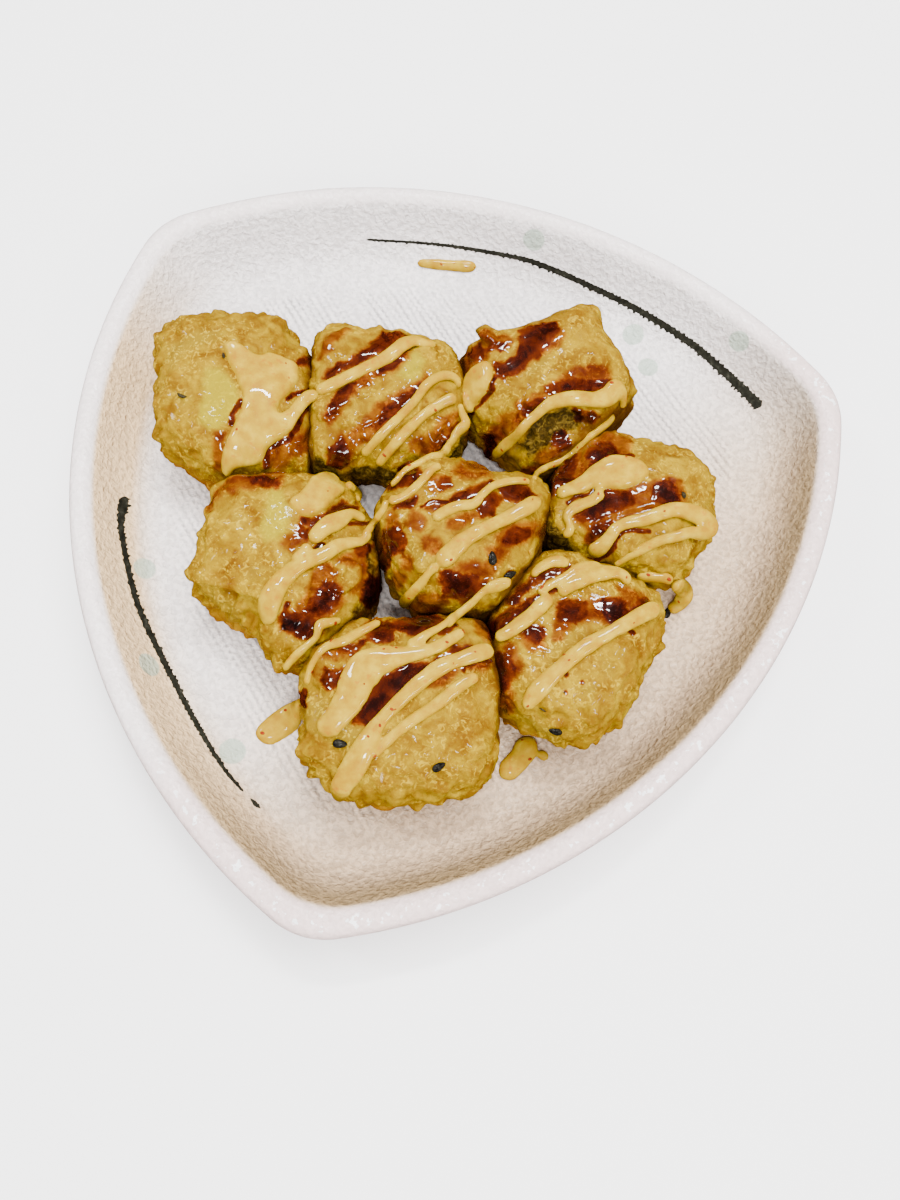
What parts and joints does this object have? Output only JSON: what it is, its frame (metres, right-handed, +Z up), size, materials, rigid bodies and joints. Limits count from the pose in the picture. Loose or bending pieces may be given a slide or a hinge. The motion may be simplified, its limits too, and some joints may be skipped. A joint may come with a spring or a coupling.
{
  "type": "plated crispy sushi bites",
  "caption": "Battered and fried sushi roll slices with sauce drizzle, laid close together on a shallow three-cornered dish.",
  "frame": {"origin": "centre of the whole object's plan box, on the table under the dish's foot ring", "axes": "+Z up; -Y towards the dish's front corner; +X to the right as seen from the front corner"},
  "size_m": [0.1978, 0.2012, 0.0407],
  "materials": {
    "dish": "off-white satin glaze with a fine orange-peel texture, ribbed floor, dark brush strokes and pale grey-green dots",
    "batter": "golden fried batter, oily and slightly glossy, with dark red-brown sauce glaze in places",
    "mayo": "glossy warm yellow spicy mayonnaise with fine red flecks",
    "seed": "black sesame seed",
    "chili": "red chili fleck in sauce"
  },
  "bodies": {
    "root": {"dish": "dish", "bite_back_left": "batter", "bite_back_middle": "batter", "bite_back_right": "batter", "bite_right": "batter", "bite_middle": "batter", "bite_left": "batter", "bite_front": "batter", "bite_front_right": "batter"}
  },
  "joints": []
}
